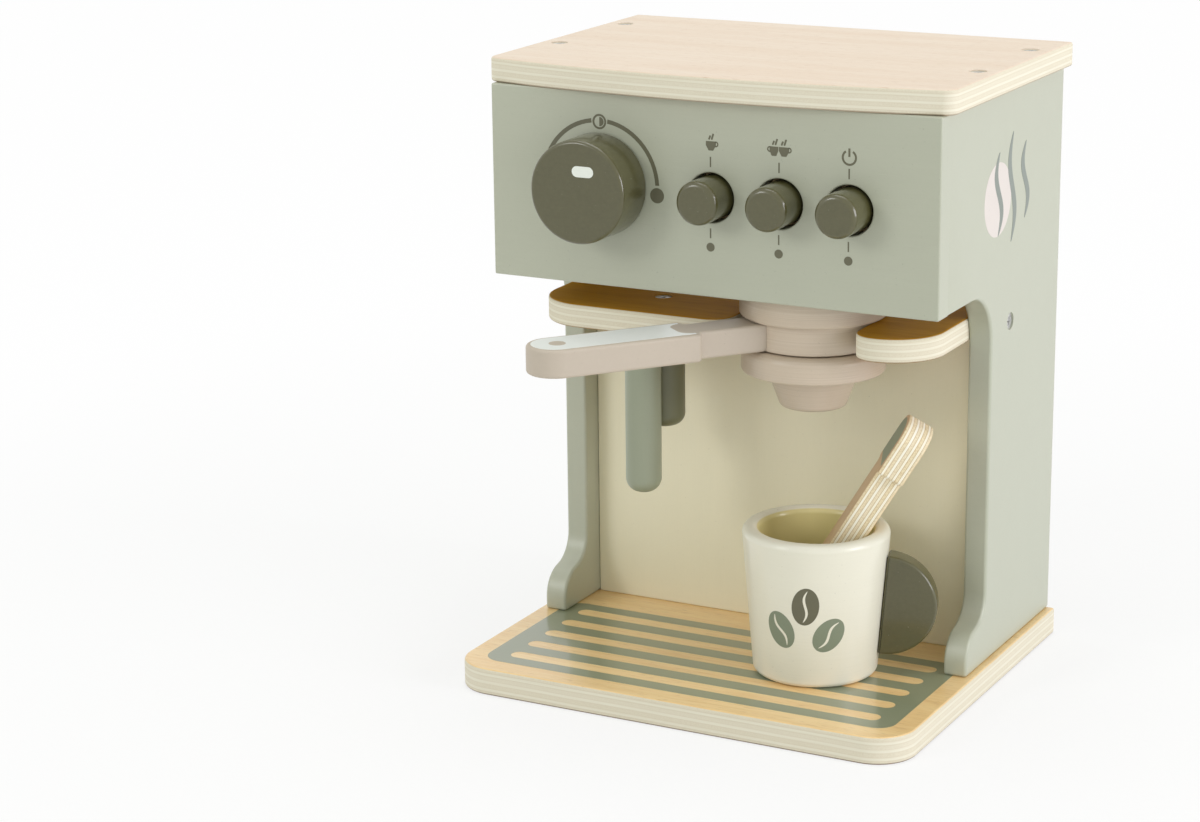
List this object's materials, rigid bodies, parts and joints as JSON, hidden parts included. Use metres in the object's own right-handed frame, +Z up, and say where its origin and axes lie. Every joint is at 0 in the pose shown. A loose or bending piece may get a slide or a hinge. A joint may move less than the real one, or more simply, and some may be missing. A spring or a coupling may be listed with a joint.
{
  "type": "toy coffee maker",
  "caption": "Wooden toy coffee maker with turning dial, sprung push buttons, pull-out filter holder with lever, and a cup with a spoon under the spout.",
  "frame": {"origin": "centre of the base board's underside, on the table", "axes": "+X to the right as seen from the front, +Y to the back, +Z up"},
  "size_m": [0.203, 0.1976, 0.259],
  "materials": {
    "birch_ply": "clear matt lacquer on birch plywood",
    "birch_rod": "plain turned wood",
    "sage_paint": "satin sage green paint on wood",
    "cream_paint": "satin cream paint on wood",
    "taupe_paint": "matt pinkish taupe paint on turned wood",
    "olive_paint": "satin dark olive paint on wood",
    "grey_paint": "satin grey-green paint on wood",
    "cup_paint": "glossy cream paint on turned wood",
    "steel": "zinc plated",
    "spring_steel": "bare spring wire"
  },
  "bodies": {
    "housing": {"base_board": "birch_ply", "side_panel_left": "sage_paint", "side_panel_right": "sage_paint", "front_panel": "sage_paint", "back_panel": "cream_paint", "top_board": "birch_ply", "shelf": "birch_ply", "steam_wand": "grey_paint", "wand_pin": "birch_rod", "water_spout": "olive_paint", "spout_screw": "steel", "top_screws": "steel", "side_screws": "steel", "base_screws": "steel", "panel_pins": "birch_rod", "spring_rail": "birch_ply", "click_block": "birch_rod", "click_spring": "spring_steel", "click_screw": "steel", "button_spring_single": "spring_steel", "button_spring_double": "spring_steel", "button_spring_power": "spring_steel"},
    "dial": {"dial_knob": "olive_paint", "dial_axle": "birch_rod", "click_wheel": "birch_ply", "dial_screw": "steel"},
    "button_single": {"button_single": "olive_paint", "button_stem_single": "birch_rod", "button_collar_single": "birch_ply"},
    "button_double": {"button_double": "olive_paint", "button_stem_double": "birch_rod", "button_collar_double": "birch_ply"},
    "button_power": {"button_power": "olive_paint", "button_stem_power": "birch_rod", "button_collar_power": "birch_ply"},
    "filter_bolt": {"filter_screw": "steel"},
    "filter_holder": {"filter_cup": "taupe_paint", "filter_neck": "taupe_paint", "filter_lever": "taupe_paint", "lever_pin": "birch_rod", "filter_flange": "taupe_paint", "filter_nozzle": "taupe_paint"},
    "cup": {"cup_body": "cup_paint", "cup_handle": "olive_paint", "cup_handle_pin": "birch_rod"},
    "spoon": {"spoon": "birch_ply"}
  },
  "joints": [
    {"name": "dial_turn", "type": "hinge", "parent": "housing", "child": "dial", "pos_m": [-0.0483, -0.0485, 0.2115], "axis": [0, -1, 0], "continuous": true},
    {"name": "button_single_push", "type": "slide", "parent": "housing", "child": "button_single", "axis": [0, 1, 0], "range_m": [0, 0.008], "stiffness_N_per_m": 150, "springref_m": -0.004, "deforming": ["button_spring_single"]},
    {"name": "button_double_push", "type": "slide", "parent": "housing", "child": "button_double", "axis": [0, 1, 0], "range_m": [0, 0.008], "stiffness_N_per_m": 150, "springref_m": -0.004, "deforming": ["button_spring_double"]},
    {"name": "button_power_push", "type": "slide", "parent": "housing", "child": "button_power", "axis": [0, 1, 0], "range_m": [0, 0.008], "stiffness_N_per_m": 150, "springref_m": -0.004, "deforming": ["button_spring_power"]},
    {"name": "filter_pull", "type": "slide", "parent": "housing", "child": "filter_bolt", "axis": [0, -1, 0], "range_m": [0, 0.09]},
    {"name": "filter_turn", "type": "hinge", "parent": "filter_bolt", "child": "filter_holder", "pos_m": [0.0287, -0.0099, 0.152], "axis": [0, 0, 1], "range_deg": [0, 74]},
    {"name": "cup_pull", "type": "slide", "parent": "housing", "child": "cup", "axis": [0, -1, 0], "range_m": [0, 0.055]},
    {"name": "spoon_lift", "type": "slide", "parent": "cup", "child": "spoon", "axis": [0.5056, 0.0983, 0.8572], "range_m": [0, 0.016]}
  ]
}
